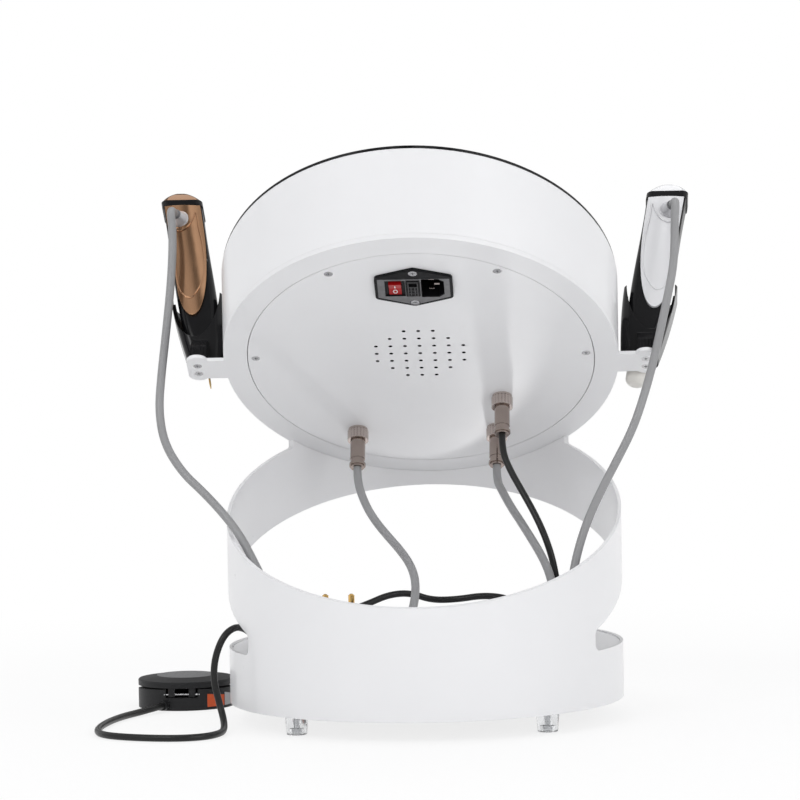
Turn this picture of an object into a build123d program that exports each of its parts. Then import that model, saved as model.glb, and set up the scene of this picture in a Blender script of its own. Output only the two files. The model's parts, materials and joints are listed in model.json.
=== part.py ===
from build123d import *

import os
from math import atan2, cos, degrees, hypot, pi, radians, sin, tan

os.makedirs("parts", exist_ok=True)

# Desktop skin-care unit: a white tube cut by two slanted gaps into base, ring and screen head.
# +Z is up, the screen faces -Y, the service side faces +Y, and the floor is z = 0.

# Tube body
body_radius = 150
body_wall = 2.5
foot_height = 15
base_rim_height = 57
waist_y = 76
waist_round = 5
neck_y = -102
neck_round = 2.5
ring_top_height = 159
ring_top_angle = -22.1
ring_low_height = 104.3
ring_low_angle = -22.9

# Slanted head planes: heights are where each plane crosses the tube's axis
rear_height = 271.3
rear_angle = 32.5
screen_height = 331.9
screen_angle = 34.2

# Clearances
slip_gap = 0.3
panel_gap = 0.6
pin_gap = 0.05

# Rear plate, service panel and their screws
plate_thickness = 3
panel_radius = 131.4
ledge_radius = 119
ledge_thickness = 2
panel_screw_radius = 125.5
panel_screw_angles = (3.2, 60.5, 119.5, 176.8)
screw_head_radius = 3.3
screw_shaft_radius = 1.75
screw_head_depth = 2

# Side arms on the rear plate
arm_overhang = 20.6
arm_reach = body_radius + arm_overhang
arm_height = 26
arm_s = -7.8
pad_width = 16
pad_length = 34
pad_s = -6.5
arm_screw_s = -8
arm_screw_spacing = 11.6
arm_screw_length = 11

# Screen
glass_thickness = 2
glass_setback = 0.5
frame_ring_width = 10.8
frame_thickness = 4
display_width = 226
display_height = 140
display_thickness = 6
board_width = 150
board_height = 96
board_thickness = 1.6
standoff_height = 6
standoff_radius = 3

# Base
deck_thickness = 3
deck_drop = 1
floor_plate_thickness = 3
post_radius = 6
post_circle = 120
post_count = 6
foot_inset = 18.5
foot_circle = body_radius - foot_inset
foot_top_radius = 8.8
foot_low_radius = 7.6
foot_screw_radius = 2
foot_screw_head_radius = 3.6
foot_screw_head_height = 3
foot_boss_radius = 5
foot_boss_height = 8
ballast_radius = 92
ballast_thickness = 8

# Power inlet module
inlet_s = 111.5
inlet_half_width = 28.8
inlet_side_half = 14.5
inlet_apex_half = 25.5
inlet_flange = 2.5
inlet_body_width = 46.6
inlet_body_height = 27.1
inlet_depth = 28
inlet_screw_spacing = 41
socket_x = -14
socket_width = 16.5
socket_height = 24.5
socket_depth = 17.5
socket_bevel = 4.5
blade_width = 4
blade_thickness = 2
blade_spacing = 14
blade_reach = 1
blade_tail = 6
fuse_x = 0.6
fuse_width = 10
fuse_height = 22
fuse_depth = 21
fuse_proud = 0.7
fuse_grip_depth = 1.6
drawer_gap = 0.2
rocker_x = 13.8
rocker_width = 9.8
rocker_height = 19.4
rocker_pocket = 11
rocker_half_length = 8.8
rocker_pivot_depth = 1.5
rocker_pin_radius = 1.5
rocker_pin_reach = 0.9
rocker_tilt = 8
rocker_proud = 4.6
switch_frame_width = 14.6
switch_frame_height = 21.2
switch_frame_depth = 1

# Round metal connectors
jack_radius = 6
jack_flange_radius = 7.7
jack_flange = 1.5
jack_reach = 8.5
jack_tail = 16
jack_bore = 4.9
jack_nut_across = 15
jack_nut_height = 2.5
jack_spots = ((54.3, -105.5), (-54.3, -105.5), (-59.9, -56))
ring_radius = 8.2
ring_start = 2
ring_length = 8
ring_lip = 0.8
plug_core_radius = 4.6
plug_body_radius = 5.85
plug_body_end = 26.5
plug_end = 34
clamp_radius = 5.4
knurl_count = 20
knurl_radius = 0.45

# Vents and fan
vent_s = 12.1
vent_pitch = 11
vent_radius = 1.5
vent_rows = (3, 5, 7, 7, 7, 5, 3)
fan_size = 60
fan_depth = 15
fan_bore_radius = 28
fan_hub_radius = 12
fan_blade_reach = 27
fan_blades = 7
fan_blade_pitch = 38
fan_shaft_radius = 1.5
fan_hole_radius = 2

# Power and high-voltage modules inside the head
supply_width = 104
supply_length = 40
supply_height = 26
supply_s = 68
hv_width = 32
hv_length = 60
hv_height = 22
hv_x = 78
hv_s = 5

# Handpieces, in the rear plate's frame: x across, s up the plate, h inwards along its normal
grip_offset = 7.1
grip_x = arm_reach - grip_offset
grip_s = -31
grip_lean = 9.6
grip_bottom = 17.8
grip_top = 159.6
grip_sections = ((grip_bottom, 10.8, 10.8, 8), (30, 12.7, 12, 7), (78, 15.5, 14, 5), (grip_top, 15.7, 14, 5))
grip_wall = 2
rear_shell_proud = 0.6
rear_shell_crown = 1.7
rear_shell_inner_half = 13.8
rear_shell_outer_half = 13.6
rear_shell_top = 153.6
rear_shell_inner_shoulder = 135
rear_shell_outer_shoulder = 78
rear_shell_tip = 54.9
rear_shell_tip_side = 4.7
front_cover_half_width = 12
front_cover_low = 62
front_cover_top = 146
cover_start = 6
cover_gap = 0.3
band_bottom = 154.6
band_proud = 0.5
dome_height = 8.5
button_h = 118
button_length = 20
button_width = 10
button_travel = 1.5
button_flange = 2
gland_h = 141
gland_offset = 4
gland_turn = 15
gland_radius = 7.2
gland_tip_radius = 4.2
gland_length = 9
gland_root = 5
nozzle_radius = 8.3
nozzle_tip_h = -3.3
needle_radius = 0.8
cap_wall = 1.4
cap_end_h = -6.4
cap_top_h = 13
grip_board_h = 92
grip_board_length = 62
board_ear_gap = 0.5

# Cradles
cup_bottom = 15
cup_floor = 2.5
cup_wall = 3.2
cup_gap = 0.45
cup_top = 72.5
cup_waist = 50
cup_waist_flare = 1.7
cup_flare = 1.7
cup_opening_low = 34
cup_ear = 2
boss_width = 12
boss_s = 1.5
boss_top = 16
boss_rib_radius = 0.7

# Cords
lead_radius = 3.2
pedal_lead_radius = 2.6

# Foot pedal
pedal_x = 193.5
pedal_y = -86.5
pedal_radius = 37.5
pedal_base_height = 16.6
pedal_wall = 2.5
pedal_rim_height = 4.7
pedal_dish_height = 2.1
pedal_pad_radius = 23
pedal_gap = 0.8
pedal_slope = 4.2
pedal_bevel = 0.7
hinge_y = 34.2
hinge_height = 12.5
hinge_pin_radius = 0.8
lug_width = 5
lug_x = 8
lug_thickness = 4
pedal_entry_x = 12.5
pedal_entry_height = 4.6
pedal_entry_radius = 3.8
pedal_entry_length = 6

# Spare tips on the deck
tip_rim_distance = 42
tip_row = tip_rim_distance - body_radius
tip_spots = ((84, tip_row), (63.4, tip_row))
tip_height = 27.8
tip_head_radius = 2.5
tip_stem_radius = 1.7
tip_block_height = 9
tip_block_width = 13

# Frames
inside_radius = body_radius - body_wall
fit_radius = inside_radius - slip_gap
rear = Plane(
    origin=(0, 0, rear_height),
    x_dir=(1, 0, 0),
    z_dir=(0, -sin(radians(rear_angle)), cos(radians(rear_angle))),
)
screen = Plane(
    origin=(0, 0, screen_height),
    x_dir=(1, 0, 0),
    z_dir=(0, -sin(radians(screen_angle)), cos(radians(screen_angle))),
)
up_plate = rear.y_dir
inwards = rear.z_dir
grip_slope = tan(radians(grip_lean))
grip_axis = Vector(sin(radians(grip_lean)), 0, 0) + inwards * cos(radians(grip_lean))
grip_side = Vector(cos(radians(grip_lean)), 0, 0) - inwards * sin(radians(grip_lean))


def line_height(height, angle, y):
    """Height at y of a slanted plane that crosses the tube's axis at height."""
    return height + y * tan(radians(angle))


def spot(x, s, h=0):
    """Point in the rear plate's frame, h inwards from its outer face."""
    return rear.from_local_coords((x, s, h))


def seat(x, s, h=0):
    """Plane parallel to the rear plate at a point, with its z inwards."""
    return Plane(origin=spot(x, s, h), x_dir=(1, 0, 0), z_dir=inwards)


def grip_centre(h):
    """Point of the handpiece's leaning axis at height h over the plate."""
    return grip_x + h * grip_slope


def grip_seat(h):
    """Plane across the handpiece at height h, parallel to the plate."""
    return seat(grip_centre(h), grip_s, h)


def grip_loft(sections, grow):
    """Solid through rounded rectangles, each a height, two half sizes and a corner radius."""
    with BuildPart() as solid:
        for h, half_x, half_s, corner in sections:
            with BuildSketch(grip_seat(h)):
                RectangleRounded(2 * (half_x + grow), 2 * (half_s + grow), corner + min(grow, 0) / 2)
        loft()
    return solid.part


def section_at(h):
    """Half sizes and corner of the grip at height h, between its given sections."""
    for low, high in zip(grip_sections, grip_sections[1:]):
        if h <= high[0]:
            share = (h - low[0]) / (high[0] - low[0])
            return tuple(a + (b - a) * share for a, b in zip(low[1:], high[1:]))
    return grip_sections[-1][1:]


def save(builder, name):
    builder.part.label = name
    export_step(builder.part, f"parts/{name}.step")


# White tube body: base drum, rear wall, ring, neck and head wall in one piece
with BuildPart() as body_shell:
    with BuildSketch(Plane.XY.offset(foot_height)):
        Circle(body_radius)
        Circle(inside_radius, mode=Mode.SUBTRACT)
    extrude(amount=line_height(screen_height, screen_angle, body_radius) - foot_height + glass_thickness)
    split(bisect_by=screen.offset(-glass_thickness), keep=Keep.BOTTOM)
    outer_y = body_radius + 10
    with BuildSketch(Plane.YZ) as front_gap:
        with BuildLine():
            Polyline(
                (-outer_y, base_rim_height),
                (waist_y, base_rim_height),
                (waist_y, line_height(ring_low_height, ring_low_angle, waist_y)),
                (-outer_y, line_height(ring_low_height, ring_low_angle, -outer_y)),
                close=True,
            )
        make_face()
        fillet(front_gap.vertices().group_by(Axis.X)[-1], waist_round)
    extrude(amount=outer_y, both=True, mode=Mode.SUBTRACT)
    plate_lift = plate_thickness / cos(radians(rear_angle))
    with BuildSketch(Plane.YZ) as rear_gap:
        with BuildLine():
            Polyline(
                (outer_y, line_height(ring_top_height, ring_top_angle, outer_y)),
                (neck_y, line_height(ring_top_height, ring_top_angle, neck_y)),
                (neck_y, line_height(rear_height, rear_angle, neck_y) + plate_lift),
                (outer_y, line_height(rear_height, rear_angle, outer_y) + plate_lift),
                close=True,
            )
        make_face()
        fillet(rear_gap.vertices().group_by(Axis.X)[0].sort_by(Axis.Y)[0], neck_round)
    extrude(amount=outer_y, both=True, mode=Mode.SUBTRACT)
save(body_shell, "body_shell")

# Floor plate with posts for the deck and bosses for the foot screws
deck_top = base_rim_height - deck_drop
with BuildPart() as floor_plate:
    with BuildSketch(Plane.XY.offset(foot_height)):
        Circle(fit_radius)
    extrude(amount=floor_plate_thickness)
    with BuildSketch(Plane.XY.offset(foot_height)):
        with PolarLocations(post_circle, post_count):
            Circle(post_radius)
    extrude(amount=deck_top - deck_thickness - foot_height)
    with BuildSketch(Plane.XY.offset(foot_height)):
        with PolarLocations(foot_circle, 4, start_angle=45):
            Circle(foot_boss_radius)
    extrude(amount=floor_plate_thickness + foot_boss_height)
    with BuildSketch(Plane.XY.offset(foot_height)):
        with PolarLocations(foot_circle, 4, start_angle=45):
            Circle(foot_screw_radius + pin_gap)
    extrude(amount=floor_plate_thickness + foot_boss_height, mode=Mode.SUBTRACT)
save(floor_plate, "floor_plate")

with BuildPart() as deck:
    with BuildSketch(Plane.XY.offset(deck_top - deck_thickness)):
        Circle(fit_radius)
    extrude(amount=deck_thickness)
save(deck, "deck")

with BuildPart() as ballast:
    with BuildSketch(Plane.XY.offset(foot_height + floor_plate_thickness)):
        Circle(ballast_radius)
    extrude(amount=ballast_thickness)
    chamfer(ballast.edges().filter_by(GeomType.CIRCLE).sort_by(Axis.Z)[-1], 1)
save(ballast, "ballast")

# Clear feet, each with a screw seen inside it
foot_screw_low = 2
with BuildPart() as feet:
    with BuildSketch():
        with PolarLocations(foot_circle, 4, start_angle=45):
            Circle(foot_low_radius)
    extrude(amount=foot_height, taper=-degrees(atan2(foot_top_radius - foot_low_radius, foot_height)))
    fillet(feet.edges().filter_by(GeomType.CIRCLE).group_by(Axis.Z)[0], 0.8)
    with BuildSketch():
        with PolarLocations(foot_circle, 4, start_angle=45):
            Circle(foot_screw_head_radius + slip_gap)
    extrude(amount=foot_screw_low + foot_screw_head_height, mode=Mode.SUBTRACT)
    with BuildSketch():
        with PolarLocations(foot_circle, 4, start_angle=45):
            Circle(foot_screw_radius + pin_gap)
    extrude(amount=foot_height, mode=Mode.SUBTRACT)
save(feet, "feet")

with BuildPart() as foot_screws:
    with BuildSketch(Plane.XY.offset(foot_screw_low)):
        with PolarLocations(foot_circle, 4, start_angle=45):
            Circle(foot_screw_head_radius)
    extrude(amount=foot_screw_head_height)
    with BuildSketch(Plane.XY.offset(foot_screw_low)):
        with PolarLocations(foot_circle, 4, start_angle=45):
            Circle(foot_screw_radius)
    extrude(amount=foot_height + floor_plate_thickness + foot_boss_height - foot_screw_low)
    with BuildSketch(Plane.XY.offset(foot_screw_low)):
        with PolarLocations(foot_circle, 4, start_angle=45):
            Rectangle(4.4, 0.9)
            Rectangle(0.9, 4.4)
    extrude(amount=1.2, mode=Mode.SUBTRACT)
save(foot_screws, "foot_screws")

# Rear plate: outer ring with the two side arms and an inner ledge that takes the panel screws
ledge_top = plate_thickness + ledge_thickness
screw_spots = [
    (panel_screw_radius * cos(radians(a)), panel_screw_radius * sin(radians(a)) / cos(radians(rear_angle)))
    for a in panel_screw_angles
]
panel_opening = panel_radius + panel_gap
tall = 400
with BuildPart() as plate_stock:
    with BuildSketch():
        Circle(body_radius)
        with Locations((0, neck_y + slip_gap - tall / 2)):
            Rectangle(tall, tall, mode=Mode.SUBTRACT)
        Circle(fit_radius)
        Circle(panel_opening, mode=Mode.SUBTRACT)
    extrude(amount=2 * tall)
    split(bisect_by=rear, keep=Keep.TOP)
    split(bisect_by=rear.offset(plate_thickness), keep=Keep.BOTTOM)
with BuildPart() as ledge_stock:
    with BuildSketch():
        Circle(fit_radius)
        Circle(ledge_radius, mode=Mode.SUBTRACT)
    extrude(amount=2 * tall)
    split(bisect_by=rear.offset(plate_thickness), keep=Keep.TOP)
    split(bisect_by=rear.offset(ledge_top), keep=Keep.BOTTOM)
with BuildPart() as panel_space:
    with BuildSketch():
        Circle(panel_opening)
    extrude(amount=2 * tall)
with BuildPart() as rear_plate:
    with BuildSketch(rear):
        with Locations((0, arm_s)):
            Rectangle(2 * arm_reach, arm_height)
        with Locations((arm_reach, pad_s), (-arm_reach, pad_s)):
            SlotOverall(pad_length, pad_width, rotation=90)
    extrude(amount=plate_thickness)
    add(panel_space.part, mode=Mode.SUBTRACT)
    add(plate_stock.part)
    add(ledge_stock.part)
    with BuildSketch(rear):
        with Locations(screw_spots):
            Circle(screw_shaft_radius + pin_gap)
        with GridLocations(2 * arm_reach, arm_screw_spacing, 2, 2):
            with Locations((0, arm_screw_s)):
                Circle(screw_shaft_radius + pin_gap)
    extrude(amount=ledge_top, mode=Mode.SUBTRACT)
    with BuildSketch(rear):
        with GridLocations(2 * arm_reach, arm_screw_spacing, 2, 2):
            with Locations((0, arm_screw_s)):
                Circle(screw_head_radius + pin_gap)
    extrude(amount=screw_head_depth, taper=degrees(atan2(1.5, screw_head_depth)), mode=Mode.SUBTRACT)
save(rear_plate, "rear_plate")

# Service panel with vents, inlet cut-out and connector holes
panel_hole_gap = 0.2
with BuildPart() as service_panel:
    with BuildSketch():
        Circle(panel_radius)
    extrude(amount=2 * tall)
    split(bisect_by=rear, keep=Keep.TOP)
    split(bisect_by=rear.offset(plate_thickness), keep=Keep.BOTTOM)
    with BuildSketch(rear):
        for row, count in enumerate(vent_rows):
            row_s = vent_s + (row - (len(vent_rows) - 1) / 2) * vent_pitch
            with Locations((0, row_s)):
                with GridLocations(vent_pitch, vent_pitch, count, 1):
                    Circle(vent_radius)
        with Locations((0, inlet_s)):
            Rectangle(inlet_body_width + 2 * panel_hole_gap, inlet_body_height + 2 * panel_hole_gap)
            with GridLocations(inlet_screw_spacing, inlet_screw_spacing, 1, 2):
                Circle(screw_shaft_radius + pin_gap)
        with Locations(*jack_spots):
            Circle(jack_radius + panel_hole_gap)
        with Locations(screw_spots):
            Circle(screw_shaft_radius + pin_gap)
    extrude(amount=plate_thickness, mode=Mode.SUBTRACT)
    with BuildSketch(rear):
        with Locations(screw_spots):
            Circle(screw_head_radius + pin_gap)
    extrude(amount=screw_head_depth, taper=degrees(atan2(1.5, screw_head_depth)), mode=Mode.SUBTRACT)
save(service_panel, "service_panel")


def screws(places, base, length):
    """Countersunk cross-head screws at places of the rear plate's frame, from height base."""
    with BuildPart() as made:
        with BuildSketch(rear.offset(base)):
            with Locations(places):
                Circle(screw_head_radius)
        extrude(amount=screw_head_depth, taper=degrees(atan2(1.5, screw_head_depth)))
        with BuildSketch(rear.offset(base)):
            with Locations(places):
                Circle(screw_shaft_radius)
        extrude(amount=length)
        with BuildSketch(rear.offset(base)):
            with Locations(places):
                Rectangle(3.2, 0.7)
                Rectangle(0.7, 3.2)
        extrude(amount=1, mode=Mode.SUBTRACT)
    return made


arm_screw_spots = [
    (side * arm_reach, arm_screw_s + step * arm_screw_spacing / 2) for side in (1, -1) for step in (1, -1)
]
inlet_screw_spots = [(0, inlet_s + step * inlet_screw_spacing / 2) for step in (1, -1)]
panel_screws = screws(screw_spots, 0, ledge_top)
save(panel_screws, "panel_screws")
arm_screws = screws(arm_screw_spots, 0, arm_screw_length)
save(arm_screws, "arm_screws")
inlet_screws = screws(inlet_screw_spots, -inlet_flange, inlet_flange + ledge_top)
save(inlet_screws, "inlet_screws")

# Power inlet module
with BuildPart() as inlet_housing:
    with BuildSketch(seat(0, inlet_s, -inlet_flange)) as flange:
        with BuildLine():
            Polyline(
                (inlet_half_width, inlet_side_half),
                (0, inlet_apex_half),
                (-inlet_half_width, inlet_side_half),
                (-inlet_half_width, -inlet_side_half),
                (0, -inlet_apex_half),
                (inlet_half_width, -inlet_side_half),
                close=True,
            )
        make_face()
        fillet(flange.vertices(), 4)
    extrude(amount=inlet_flange)
    with BuildSketch(seat(0, inlet_s)):
        Rectangle(inlet_body_width, inlet_body_height)
    extrude(amount=inlet_depth)
    with BuildSketch(seat(socket_x, inlet_s, -inlet_flange)) as recess:
        Rectangle(socket_width, socket_height)
        chamfer(recess.vertices().group_by(Axis.X)[0], socket_bevel)
    extrude(amount=socket_depth, mode=Mode.SUBTRACT)
    with BuildSketch(seat(fuse_x, inlet_s, -inlet_flange)):
        Rectangle(fuse_width, fuse_height)
    extrude(amount=fuse_depth + inlet_flange, mode=Mode.SUBTRACT)
    with BuildSketch(seat(rocker_x, inlet_s, -inlet_flange)):
        Rectangle(rocker_width, rocker_height)
    extrude(amount=rocker_pocket + inlet_flange, mode=Mode.SUBTRACT)
    with BuildSketch(seat(rocker_x, inlet_s, -inlet_flange)):
        RectangleRounded(switch_frame_width, switch_frame_height, 1)
    extrude(amount=switch_frame_depth, mode=Mode.SUBTRACT)
    rocker_axle = Plane(
        origin=spot(rocker_x, inlet_s, rocker_pivot_depth), x_dir=up_plate, z_dir=(1, 0, 0)
    )
    with BuildSketch(rocker_axle):
        Circle(rocker_pin_radius + 2 * pin_gap)
    extrude(amount=rocker_width / 2 + rocker_pin_reach + pin_gap, both=True, mode=Mode.SUBTRACT)
    blade_spots = ((1, blade_spacing / 2), (1, -blade_spacing / 2), (-3, 0))
    with BuildSketch(seat(socket_x, inlet_s, blade_reach)):
        with Locations(*blade_spots):
            Rectangle(blade_width, blade_thickness)
    extrude(amount=inlet_depth, mode=Mode.SUBTRACT)
    with BuildSketch(rear.offset(-inlet_flange)):
        with Locations(*inlet_screw_spots):
            Circle(screw_head_radius + pin_gap)
    extrude(amount=screw_head_depth, taper=degrees(atan2(1.5, screw_head_depth)), mode=Mode.SUBTRACT)
    with BuildSketch(rear.offset(-inlet_flange)):
        with Locations(*inlet_screw_spots):
            Circle(screw_shaft_radius + pin_gap)
    extrude(amount=inlet_flange, mode=Mode.SUBTRACT)
save(inlet_housing, "inlet_housing")

with BuildPart() as inlet_pins:
    with BuildSketch(seat(socket_x, inlet_s, blade_reach)):
        with Locations(*blade_spots):
            Rectangle(blade_width, blade_thickness)
    extrude(amount=inlet_depth + blade_tail - blade_reach)
save(inlet_pins, "inlet_pins")

with BuildPart() as fuse_drawer:
    with BuildSketch(seat(fuse_x, inlet_s, -inlet_flange - fuse_proud)):
        Rectangle(fuse_width - 2 * drawer_gap, fuse_height - 2 * drawer_gap)
    extrude(amount=fuse_depth + inlet_flange + fuse_proud - slip_gap)
    with BuildSketch(seat(fuse_x, inlet_s + fuse_height / 4, -inlet_flange - fuse_proud)):
        Rectangle(fuse_width - 3, fuse_height / 5)
    extrude(amount=fuse_grip_depth, mode=Mode.SUBTRACT)
    fuse_bore = Plane(origin=spot(fuse_x, inlet_s, fuse_depth / 2), x_dir=(1, 0, 0), z_dir=up_plate)
    with BuildSketch(fuse_bore):
        Rectangle(5.4, fuse_depth / 2)
    extrude(amount=fuse_height / 2 - 1.2, both=True, mode=Mode.SUBTRACT)
save(fuse_drawer, "fuse_drawer")

rocker_rest = Plane(rocker_axle.location * Rotation(0, 0, -rocker_tilt))
with BuildPart() as rocker:
    with BuildSketch(rocker_rest):
        with BuildLine():
            Polyline(
                (-rocker_half_length, -rocker_proud),
                (0, 1 - rocker_proud),
                (rocker_half_length, -rocker_proud),
                (rocker_half_length - 1, 1),
                (3.5, 6),
                (-3.5, 6),
                (-rocker_half_length + 1, 1),
                close=True,
            )
        make_face()
    extrude(amount=rocker_width / 2 - slip_gap, both=True)
    with BuildSketch(rocker_axle):
        Circle(rocker_pin_radius)
    extrude(amount=rocker_width / 2 + rocker_pin_reach - pin_gap, both=True)
save(rocker, "rocker")

# Panel jacks
with BuildPart() as jacks:
    with BuildSketch(rear.offset(-jack_flange)):
        with Locations(*jack_spots):
            Circle(jack_flange_radius)
    extrude(amount=jack_flange)
    with BuildSketch(rear.offset(-jack_reach)):
        with Locations(*jack_spots):
            Circle(jack_radius)
    extrude(amount=jack_reach + jack_tail)
    with BuildSketch(rear.offset(plate_thickness)):
        with Locations(*jack_spots):
            RegularPolygon(jack_nut_across / 2, 6, major_radius=False)
    extrude(amount=jack_nut_height)
    with BuildSketch(rear.offset(-jack_reach)):
        with Locations(*jack_spots):
            Circle(jack_bore)
    extrude(amount=jack_reach - ring_start, mode=Mode.SUBTRACT)
save(jacks, "jacks")


def plug_seat(place, out):
    """Plane at a jack, out beyond the panel, with its z pointing inwards."""
    return seat(place[0], place[1], -out)


def make_plug(place):
    """Plug body with its core, sleeve and cable clamp."""
    neck_end = ring_start + ring_length + slip_gap
    with BuildPart() as made:
        with BuildSketch(plug_seat(place, plug_end)):
            Circle(clamp_radius)
        extrude(amount=plug_end - plug_body_end)
        with BuildSketch(plug_seat(place, plug_body_end)):
            Circle(plug_body_radius)
        extrude(amount=plug_body_end - neck_end)
        with BuildSketch(plug_seat(place, neck_end)):
            Circle(plug_core_radius)
        extrude(amount=neck_end - ring_start - 1)
        with BuildSketch(plug_seat(place, plug_end - 1.5)):
            Circle(clamp_radius + 1)
            Circle(clamp_radius - 0.6, mode=Mode.SUBTRACT)
        extrude(amount=2)
    return made


def make_ring(place):
    """Knurled coupling ring that turns on the plug over the jack's thread."""
    with BuildPart() as made:
        with BuildSketch(plug_seat(place, ring_start + ring_length)):
            Circle(ring_radius)
            with PolarLocations(ring_radius, knurl_count):
                Circle(knurl_radius, mode=Mode.SUBTRACT)
        extrude(amount=ring_length)
        with BuildSketch(plug_seat(place, ring_start + ring_length - ring_lip)):
            Circle(jack_radius + slip_gap)
        extrude(amount=ring_length, mode=Mode.SUBTRACT)
        with BuildSketch(plug_seat(place, ring_start + ring_length)):
            Circle(plug_core_radius + slip_gap)
        extrude(amount=ring_length, mode=Mode.SUBTRACT)
    return made


plug_names = ("gold", "white", "pedal")
for plug_name, place in zip(plug_names, jack_spots):
    save(make_plug(place), f"{plug_name}_plug")
    save(make_ring(place), f"{plug_name}_plug_ring")

# Cooling fan behind the vents
fan_low = plate_thickness
strut_height = 2.5
stator_height = 4
with BuildPart() as fan_frame:
    with BuildSketch(seat(0, vent_s, fan_low)):
        RectangleRounded(fan_size, fan_size, 4)
        Circle(fan_bore_radius, mode=Mode.SUBTRACT)
        with GridLocations(fan_size - 10, fan_size - 10, 2, 2):
            Circle(fan_hole_radius, mode=Mode.SUBTRACT)
    extrude(amount=fan_depth)
    with BuildSketch(seat(0, vent_s, fan_low + fan_depth - strut_height)):
        with PolarLocations(fan_bore_radius / 2 + 1, 4, start_angle=45):
            Rectangle(fan_bore_radius + 1, 3)
    extrude(amount=strut_height)
    with BuildSketch(seat(0, vent_s, fan_low + fan_depth - stator_height)):
        Circle(fan_hub_radius - 1)
    extrude(amount=stator_height)
    with BuildSketch(seat(0, vent_s, fan_low + fan_depth - stator_height)):
        Circle(fan_shaft_radius + 2 * pin_gap)
    extrude(amount=stator_height - 1, mode=Mode.SUBTRACT)
save(fan_frame, "fan_frame")

hub_height = fan_depth - stator_height - slip_gap - 1
with BuildPart() as fan_rotor:
    with BuildSketch(seat(0, vent_s, fan_low + 1)):
        Circle(fan_hub_radius)
    extrude(amount=hub_height)
    with BuildSketch(seat(0, vent_s, fan_low + 1 + hub_height)):
        Circle(fan_shaft_radius)
    extrude(amount=stator_height - 1.2)
    blade_length = fan_blade_reach - fan_hub_radius + 1
    with Locations(seat(0, vent_s, fan_low + 1 + hub_height / 2)):
        with PolarLocations(fan_hub_radius - 1 + blade_length / 2, fan_blades):
            Box(blade_length, 10, 1.2, rotation=(fan_blade_pitch, 0, 0))
save(fan_rotor, "fan_rotor")

# Power supply and two high-voltage modules on the panel's inner face
with BuildPart() as power_supply:
    with BuildSketch(seat(0, supply_s, plate_thickness)):
        Rectangle(supply_width, supply_length)
    extrude(amount=supply_height)
    with BuildSketch(seat(0, supply_s, plate_thickness + supply_height - 1)):
        with GridLocations(8, 20, 11, 1):
            SlotOverall(24, 3, rotation=90)
    extrude(amount=1, mode=Mode.SUBTRACT)
save(power_supply, "power_supply")

with BuildPart() as hv_modules:
    with BuildSketch(seat(0, hv_s, plate_thickness)):
        with GridLocations(2 * hv_x, 1, 2, 1):
            RectangleRounded(hv_width, hv_length, 2)
    extrude(amount=hv_height)
    with BuildSketch(seat(0, hv_s - hv_length / 2 + 10, plate_thickness + hv_height)):
        with GridLocations(2 * hv_x, 1, 2, 1):
            Circle(4)
    extrude(amount=3)
save(hv_modules, "hv_modules")

# Screen: black glass, its carrier ring, the display and the main board
with BuildPart() as screen_glass:
    with BuildSketch():
        Circle(body_radius - glass_setback)
    extrude(amount=2 * tall)
    split(bisect_by=screen.offset(-glass_thickness), keep=Keep.TOP)
    split(bisect_by=screen, keep=Keep.BOTTOM)
save(screen_glass, "screen_glass")

with BuildPart() as screen_frame:
    with BuildSketch():
        Circle(fit_radius)
        Circle(fit_radius - frame_ring_width, mode=Mode.SUBTRACT)
    extrude(amount=2 * tall)
    split(bisect_by=screen.offset(-glass_thickness - frame_thickness), keep=Keep.TOP)
    split(bisect_by=screen.offset(-glass_thickness), keep=Keep.BOTTOM)
save(screen_frame, "screen_frame")

display_back = glass_thickness + display_thickness
with BuildPart() as display:
    with BuildSketch(screen.offset(-display_back)):
        RectangleRounded(display_width, display_height, 3)
    extrude(amount=display_thickness)
    with BuildSketch(screen.offset(-display_back - standoff_height)):
        with GridLocations(board_width - 10, board_height - 10, 2, 2):
            Circle(standoff_radius)
    extrude(amount=standoff_height)
save(display, "display")

board_top = display_back + standoff_height
with BuildPart() as main_board:
    with BuildSketch(screen.offset(-board_top - board_thickness)):
        Rectangle(board_width, board_height)
    extrude(amount=board_thickness)
    with BuildSketch(screen.offset(-board_top - board_thickness - 3)):
        with Locations((-35, 12)):
            Rectangle(22, 22)
        with Locations((10, -18)):
            Rectangle(14, 10)
    extrude(amount=3)
    with BuildSketch(screen.offset(-board_top - board_thickness - 6)):
        with Locations((55, 30), (55, 5), (55, -20)):
            Rectangle(12, 16)
        with Locations((-5, 36), (12, 36)):
            Circle(5)
    extrude(amount=6)
save(main_board, "main_board")

# Cradle: a cup along the handpiece's axis, open at the back, with a ribbed boss on the arm's pad
def flared(h, flare):
    """The grip's section at height h, widened all round."""
    half_x, half_s, corner = section_at(h)
    return (h, half_x + flare, half_s + flare, corner + flare)


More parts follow.
